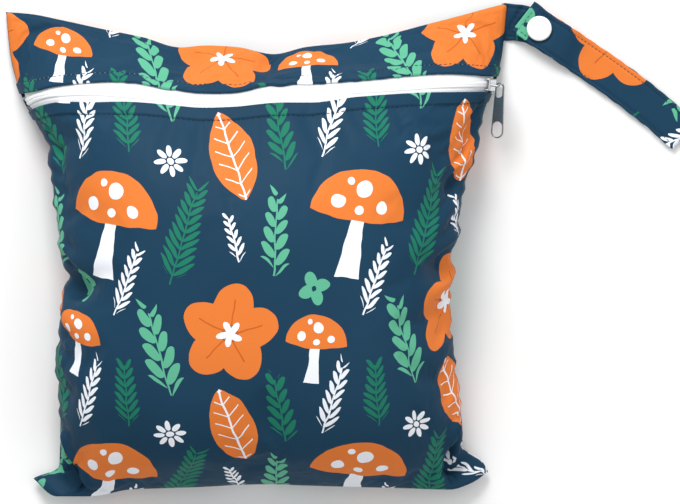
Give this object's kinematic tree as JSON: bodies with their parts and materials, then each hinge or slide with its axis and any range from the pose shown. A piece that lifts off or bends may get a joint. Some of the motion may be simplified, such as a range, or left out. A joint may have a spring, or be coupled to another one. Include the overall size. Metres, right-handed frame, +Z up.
{
  "type": "cloth diaper wet bag",
  "caption": "Soft square zip-top wet bag of printed waterproof cloth, stuffed and zipped, with a snap wrist strap at the top corner.",
  "frame": {"origin": "on the surface the bag lies on, under the middle of the resting back panel", "axes": "+X across the bag towards the wrist strap's side, +Y up the bag towards its top edge, +Z up from the surface through the front"},
  "size_m": [0.4144, 0.297, 0.092],
  "materials": {
    "printed_cloth": "polyester laminated with a waterproof film, printed navy with orange, green and white motifs, satin",
    "zip_tape": "white woven zip tape",
    "zip_coil": "white nylon coil",
    "zip_metal": "zinc alloy, dark nickel plated",
    "snap_plastic": "white moulded snap, satin gloss"
  },
  "bodies": {
    "bag": {"front_panel": "printed_cloth", "top_band": "printed_cloth", "back_panel": "printed_cloth", "zip_tape_upper": "zip_tape", "zip_tape_lower": "zip_tape", "zip_coil": "zip_coil", "zip_slider": "zip_metal", "wrist_strap": "printed_cloth", "snap_cap": "snap_plastic", "snap_core": "snap_plastic", "snap_back": "snap_plastic"},
    "pull": {"zip_pull": "zip_metal"}
  },
  "joints": [
    {"name": "pull_swing", "type": "hinge", "parent": "bag", "child": "pull", "pos_m": [0.14637, 0.1222, 0.02329], "axis": [-0.3784, 0.024, 0.9253], "range_deg": [0, 150]}
  ]
}
